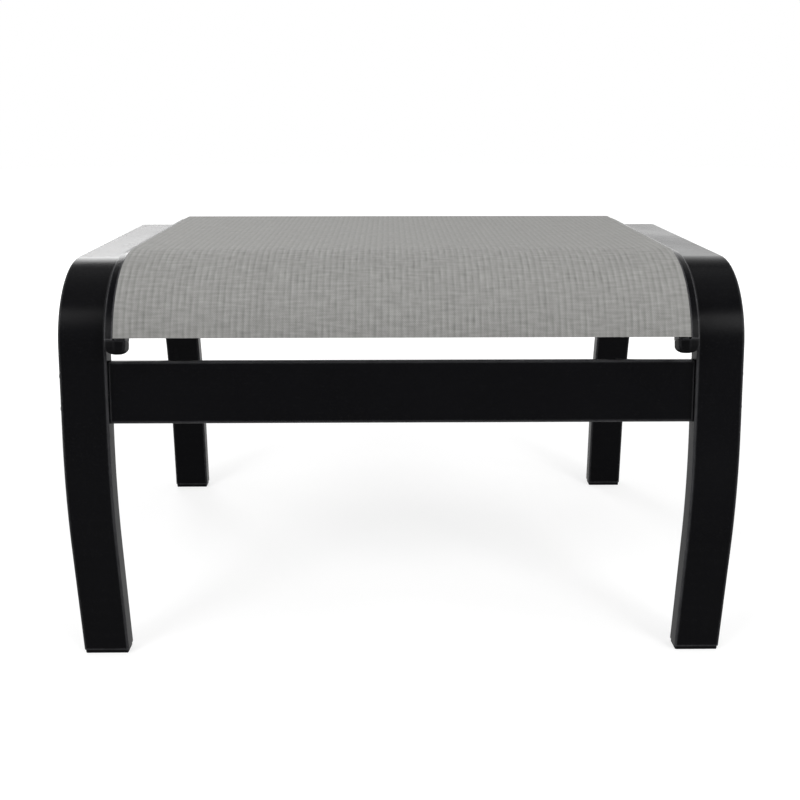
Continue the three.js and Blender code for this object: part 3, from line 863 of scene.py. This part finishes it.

# %% [markdown]
# The frame, rails, cross tubes and spreaders share one satin black powder coat. It is baked on as a powder, so it
# has a faint orange peel, and it is so dark that its shine does most of the drawing. Patches make it a little
# rougher or smoother, and rubbed edges are smoother still. Its edges are also painted far paler than the coat, as
# highlight lines, over a little real wear.

# %% A hard material, and the black powder coat
speck_share, rougher, smoother, smoother_if_rubbed = 0.15, 0.05, 0.04, 0.06


def hard_material(name, colour, speck_wear_and_highlight_colour, roughness, level, bumps_per_m, depth, patch_share=0.25, metallic=0.0):
    material = bpy.data.materials.new(name)
    material.use_nodes = True
    tree = material.node_tree
    shader = tree.nodes["Principled BSDF"]
    place = put(tree, "ShaderNodeTexCoord").outputs["Object"]
    grain = put(tree, "ShaderNodeGroup", node_tree=grain_group)
    tree.links.new(place, grain.inputs["Place"])
    grain.inputs["Bumps per m"].default_value = bumps_per_m
    edges = put(tree, "ShaderNodeGroup", node_tree=edge_group)
    tree.links.new(place, edges.inputs["Place"])
    darker = tuple(c * (1 - patch_share) for c in colour)
    tone = mix_colour(tree, grain.outputs["Patches"], darker, colour)
    # Specks and edges lean towards the pale colour. On the coat and the plastic, the pale edges are painted highlight
    # lines.
    speckled = mix_colour(tree, maths(tree, "MULTIPLY", grain.outputs["Specks"], speck_share), tone, speck_wear_and_highlight_colour)
    tree.links.new(mix_colour(tree, edges.outputs["Rubbed"], speckled, speck_wear_and_highlight_colour), shader.inputs["Base Color"])
    shine = between(tree, grain.outputs["Patches"], 0.0, 1.0, roughness + rougher, roughness - smoother)
    rubbed = maths(tree, "MULTIPLY_ADD", edges.outputs["Rubbed"], -smoother_if_rubbed, shine)
    tree.links.new(rubbed, shader.inputs["Roughness"])
    shader.inputs["Specular IOR Level"].default_value = level
    shader.inputs["Metallic"].default_value = metallic
    bump = put(tree, "ShaderNodeBump", {"Height": grain.outputs["Bumps"], "Strength": 1.0, "Distance": depth})
    tree.links.new(bump.outputs["Normal"], shader.inputs["Normal"])
    return material


# The coat's edge colour is about twenty-five times paler than its face: painted highlight lines along the tubes'
# edges, over a little real wear.
coat = hard_material(
    "satin_black_coat", colour=(0.0028, 0.0028, 0.0036), speck_wear_and_highlight_colour=(0.07, 0.07, 0.074),
    roughness=0.24, level=0.036, bumps_per_m=700, depth=0.01 * mm)
print("coat:", len(coat.node_tree.nodes), "nodes")

# %% [markdown]
# The other hard finishes are the same recipe with other values. Moulded plastic is black, rougher and finer in its
# grain, and its paler edges are painted highlight lines. The bolts are blackened steel with a brighter shine. The
# castings in the tube ends are raw grey metal with a coarse skin, and the rods in the hems are off-white vinyl.

# %% Black plastic, black steel, castings and vinyl
# The plastic's pale edge colour paints faint highlight lines along the edges of the caps, glides and spacers.
plastic = hard_material(
    "moulded_black_plastic", colour=(0.0038, 0.0038, 0.0043), speck_wear_and_highlight_colour=(0.028, 0.028, 0.03),
    roughness=0.34, level=0.022, bumps_per_m=1500, depth=0.02 * mm)
steel = hard_material(
    "blackened_steel", colour=(0.008, 0.008, 0.009), speck_wear_and_highlight_colour=(0.05, 0.05, 0.052),
    roughness=0.33, level=0.3, bumps_per_m=1200, depth=0.02 * mm)
casting = hard_material(
    "raw_casting", colour=(0.36, 0.37, 0.38), speck_wear_and_highlight_colour=(0.6, 0.61, 0.62),
    roughness=0.5, level=0.5, bumps_per_m=900, depth=0.12 * mm, metallic=0.9)
vinyl = hard_material(
    "white_vinyl_rod", colour=(0.66, 0.64, 0.58), speck_wear_and_highlight_colour=(0.72, 0.7, 0.66),
    roughness=0.5, level=0.4, bumps_per_m=500, depth=0.03 * mm, patch_share=0.1)
print("hard materials:", [m.name for m in (coat, plastic, steel, casting, vinyl)])

# %% [markdown]
# The cloth is woven from coated yarns. Its pattern has to follow the sheet round the bends and down into the rails,
# so the sheet carries its own measure: how far each point lies across and along the cloth, as an attribute.

# %% A measure on the cloth
def along_sling(y, z):
    if abs(y) <= level_half:
        return y
    return math.copysign(level_half + sling_radius * math.atan2(abs(y) - level_half, z - sling_centre), y)


measure = cloth.data.attributes.new("cloth_place", "FLOAT_VECTOR", "POINT")
for vertex, mark in zip(cloth.data.vertices, measure.data):
    x, y, z = vertex.co
    mark.vector = (x, along_sling(y, z), 0)
marks_along = [mark.vector[1] for mark in measure.data]
print("cloth runs from and to, mm:", [round(mark / mm, 1) for mark in (min(marks_along), max(marks_along))])

# %% [markdown]
# Close up the cloth is a plain weave of fine coated yarns. From a step away it reads as linen, by ribs, dashes and
# patches of other tints. An image of cloth would be quick, but it would repeat and blur. Here every pattern is drawn
# from the cloth's own measure, by waves for what repeats and by stretched noise for what doesn't.

# %% Waves and noise on the cloth's own measure
cloth_material = bpy.data.materials.new("woven_sling_cloth")
cloth_material.use_nodes = True
tree = cloth_material.node_tree
shader = tree.nodes["Principled BSDF"]
place = put(tree, "ShaderNodeAttribute", attribute_name="cloth_place").outputs["Vector"]
parts = put(tree, "ShaderNodeSeparateXYZ", {"Vector": place})
across, along = parts.outputs["X"], parts.outputs["Y"]


def wave(run, pitch, start=0.0):
    return maths(tree, "SINE", maths(tree, "MULTIPLY_ADD", run, 2 * math.pi / pitch, start))


def cloth_noise(across_length, along_length, detail=1.0):
    per_metre = (1 / across_length, 1 / along_length, 1)
    scaled = put(tree, "ShaderNodeVectorMath", {0: place, 1: per_metre}, operation="MULTIPLY").outputs[0]
    return maths(tree, "SUBTRACT", noise(tree, scaled, 1.0, detail=detail), 0.5)


print("cloth material starts with", len(tree.nodes), "nodes")

# %% [markdown]
# The colour goes between a dark and a pale yarn. Ribs run down the cloth every few millimetres, dashes cross them
# where a yarn of another tint lies on top, streaks run along them, and broad patches lie under it all. Each pushes
# the colour a little to one side. The level part of the seat shows less contrast than the bends do, so the pushes
# are held back there. Slubs, thick places in a yarn, lie dark on top.

# %% Colours of the woven cloth
stripe_pitch = 6.2 * mm
dark_yarn, pale_yarn, slub_yarn = (0.1765, 0.1755, 0.169), (0.349, 0.347, 0.3355), (0.16, 0.158, 0.15)
second_wave, stripe_change = 0.35, 3.0
closed_at, opened_at, closed_share = level_half - 30 * mm, level_half + 20 * mm, 0.55
stripe_share, dash_share, streak_share, patch_share = 0.12, 0.72, 0.5, 0.12

stripe_strength = maths(tree, "MULTIPLY_ADD", cloth_noise(16 * mm, 24 * mm), stripe_change, 1.0)
finer_wave = wave(across, stripe_pitch / 2, start=0.4)
stripes = maths(tree, "MULTIPLY_ADD", finer_wave, second_wave, wave(across, stripe_pitch))
stripes = maths(tree, "MULTIPLY", stripes, stripe_strength)
from_middle = maths(tree, "ABSOLUTE", along)
opened = between(tree, from_middle, closed_at, opened_at, closed_share, 1.0)
dashes, streaks = cloth_noise(18 * mm, 3 * mm), cloth_noise(2.8 * mm, 15 * mm)
patches = cloth_noise(70 * mm, 70 * mm)
unevenness = 0.0
for push, share in ((stripes, stripe_share), (dashes, dash_share), (streaks, streak_share), (patches, patch_share)):
    unevenness = maths(tree, "MULTIPLY_ADD", push, share, unevenness)
paleness = maths(tree, "MULTIPLY_ADD", unevenness, opened, 0.5)
base = mix_colour(tree, maths(tree, "ADD", paleness, 0.0, clamp=True), dark_yarn, pale_yarn)
slubs = maths(tree, "ADD", cloth_noise(5 * mm, 1.8 * mm, detail=2.0), 0.5)
base = mix_colour(tree, between(tree, slubs, 0.68, 0.8, 0.0, 0.6), base, slub_yarn)
tree.links.new(base, shader.inputs["Base Color"])
print("ribs across the seat:", round(2 * neck_x / stripe_pitch))

# %% [markdown]
# The surface is the weave itself: yarns go over and under each other, six to a rib. Two waves multiplied give that
# chequer of small hills, and a Bump node turns it into light and shade. The yarns' coating is matt with a trace of
# sheen, and slubs are a little smoother.

# %% The weave's surface
yarn_pitch = stripe_pitch / 6
weave_strength, weave_depth = 0.5, 0.12 * mm
weave = maths(tree, "MULTIPLY", wave(across, 2 * yarn_pitch), wave(along, 2 * yarn_pitch))
bump = put(tree, "ShaderNodeBump", {"Height": weave, "Strength": weave_strength, "Distance": weave_depth})
tree.links.new(bump.outputs["Normal"], shader.inputs["Normal"])
tree.links.new(between(tree, slubs, 0.3, 0.7, 0.92, 0.78), shader.inputs["Roughness"])
shader.inputs["Specular IOR Level"].default_value = 0.1
shader.inputs["Sheen Weight"].default_value = 0.02
shader.inputs["Sheen Roughness"].default_value = 0.5
print("cloth material:", len(tree.nodes), "nodes")

# %% [markdown]
# Each piece now takes its finish, rides on the body and stands for its CAD node. The cast inserts stay as they come
# from the CAD model, because they sit inside the tubes, and they get the casting material.

# %% Dress every piece
def dress(piece, material, node):
    piece.data.materials.clear()
    piece.data.materials.append(material)
    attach(piece, "root")
    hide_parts(node)


for side in ("left", "right"):
    dress(side_frames[side], coat, f"side_frame_{side}")
    dress(rails[side], coat, f"sling_rail_{side}")
    dress(hem_rods[side], vinyl, f"spline_{side}")
for end in ("front", "rear"):
    dress(cross_tubes[end], coat, f"cross_rail_{end}")
    dress(spreaders[end], coat, f"spreader_bar_{end}")
for end, side in corner_names:
    dress(caps[end, side], plastic, f"rail_cap_{end}_{side}")
    dress(glides[end, side], plastic, f"foot_glide_{end}_{side}")
    dress(spacers[end, side], plastic, f"rail_spacer_{end}_{side}")
for node, piece in bolts.items():
    dress(piece, steel, node)
dress(cloth, cloth_material, "sling_fabric")
inserts = [name for name in frame["nodes"] if "insert" in name]
for name in inserts:
    for slot in bpy.data.objects[name].material_slots:
        slot.material = casting
pieces = [o for o in bpy.data.objects if o.type == "MESH" and o.name not in frame["nodes"]]
print("pieces dressed:", len(pieces), "and castings:", len(inserts))

# %% [markdown]
# The studio is white all round. The floor is a wide round sheet of paper. It should look white and still show the
# object's soft shadow. So for rays that are seen, directly or in a reflection, it gives off most of its white
# itself, and the rest comes from the lamps, where the shadow can fall. Further out it is white by itself alone.

# %% Floor
floor_radius, white_from, white_to, own_share = 8, 0.7, 1.8, 0.705
put_away()
bpy.ops.mesh.primitive_circle_add(vertices=96, radius=floor_radius, location=(0, 0, 0), fill_type="NGON")
floor = bpy.context.object
floor.name = floor.data.name = "studio_floor"
put_away()


def grey(value):
    return (value, value, value)


def seen_rays(tree):
    light_path = put(tree, "ShaderNodeLightPath").outputs
    reflected = maths(tree, "MAXIMUM", light_path["Is Glossy Ray"], light_path["Is Transmission Ray"])
    return maths(tree, "MAXIMUM", light_path["Is Camera Ray"], reflected)


paper = bpy.data.materials.new("studio_paper")
paper.use_nodes = True
tree = paper.node_tree
shader = tree.nodes["Principled BSDF"]
place = put(tree, "ShaderNodeTexCoord").outputs["Object"]
tree.links.new(mix_colour(tree, noise(tree, place, 3.0), grey(0.34), grey(0.36)), shader.inputs["Base Color"])
shader.inputs["Roughness"].default_value = 0.9
shader.inputs["Specular IOR Level"].default_value = 0.0
distance = put(tree, "ShaderNodeVectorMath", {0: place}, operation="LENGTH").outputs["Value"]
own_white = mix_colour(tree, between(tree, distance, white_from, white_to), grey(own_share), grey(1))
tree.links.new(mix_colour(tree, seen_rays(tree), grey(0), own_white), shader.inputs["Emission Color"])
shader.inputs["Emission Strength"].default_value = 1.0
floor.data.materials.append(paper)
print("floor:", len(floor.data.polygons), "face")

# %% [markdown]
# The light is soft and plain. The world lights everything evenly; seen or mirrored it is a white wall that turns
# grey above. A large lamp hangs overhead. Two boxes in front draw the highlights where the tubes bend down, and two
# behind lie in line with the camera's mirror view of the tubes' tops, which is why those look pale although the coat
# is black. The leaning shoulders of the rails mirror two boxes at the sides, and two low wide boxes fill in from
# beside. A box is given by how brightly it glows, so that its size can change and its reflection stays as bright.

# %% Light
bpy.context.scene.view_settings.view_transform = "Standard"
grey_from, grey_to, wall_above, air_light = 0.55, 0.72, 0.35, 0.1
world = bpy.data.worlds.new("studio_air")
bpy.context.scene.world = world
world.use_nodes = True
tree = world.node_tree
direction = put(tree, "ShaderNodeTexCoord").outputs["Generated"]
rise = put(tree, "ShaderNodeSeparateXYZ", {"Vector": direction}).outputs["Z"]
wall = mix_colour(tree, between(tree, rise, grey_from, grey_to), grey(1), grey(wall_above))
tree.links.new(mix_colour(tree, seen_rays(tree), grey(air_light), wall), tree.nodes["Background"].inputs["Color"])


def softbox(name, size, location, target, glow):
    lamp = bpy.data.lights.new(name, "AREA")
    lamp.shape = "RECTANGLE"
    lamp.size, lamp.size_y = size
    lamp.energy = glow * math.pi * size[0] * size[1]
    holder = bpy.data.objects.new(name, lamp)
    bpy.context.scene.collection.objects.link(holder)
    holder.location = location
    holder.rotation_euler = (Vector(target) - Vector(location)).to_track_quat("-Z", "Y").to_euler()
    holder.visible_camera = False
    print(f"{name}: {lamp.energy:.1f} W")


softbox("light_above", (2.6, 2.6), (0, 0, 2.6), (0, 0, 0), 1.15)
softbox("light_front_left", (0.9, 1.05), (-1.65, -2.0, 2.35), (-0.3, -0.2, 0.35), 11.2)
softbox("light_front_right", (0.9, 1.05), (1.65, -2.3, 2.05), (0.3, -0.2, 0.35), 13.4)
softbox("light_behind_left", (1.3, 1.3), (-1.2, 2.6, 1.55), (-0.3, 0, 0.4), 6.6)
softbox("light_behind_right", (1.3, 1.5), (1.2, 2.6, 1.1), (0.3, 0, 0.4), 0.9)
softbox("light_side_left", (1.2, 0.9), (-2.8, -1.7, 1.6), (-0.28, -0.2, 0.35), 5.8)
softbox("light_side_right", (1.2, 0.9), (2.8, -1.7, 1.6), (0.28, -0.2, 0.35), 6.6)
softbox("light_low_left", (2.0, 1.0), (-2.8, 0.5, 0.65), (0, 0.5, 0.65), 4)
softbox("light_low_right", (2.0, 1.0), (2.8, 0.5, 0.65), (0, 0.5, 0.65), 4)

# %% [markdown]
# The camera stands where the photograph was taken from: a little above the seat, straight in front, turned very
# slightly.

# %% Camera
focal_length, sensor_width = 43.36, 36
camera_place, tilt, turn = (-0.01296, -1.11788, 0.54764), math.radians(72.816), math.radians(-0.6665)
lens = bpy.data.cameras.new("photo_camera")
lens.lens, lens.sensor_width = focal_length, sensor_width
camera = bpy.data.objects.new("photo_camera", lens)
bpy.context.scene.collection.objects.link(camera)
camera.location = camera_place
camera.rotation_euler = (tilt, 0, turn)
bpy.context.scene.camera = camera
print("camera stands at", camera_place)
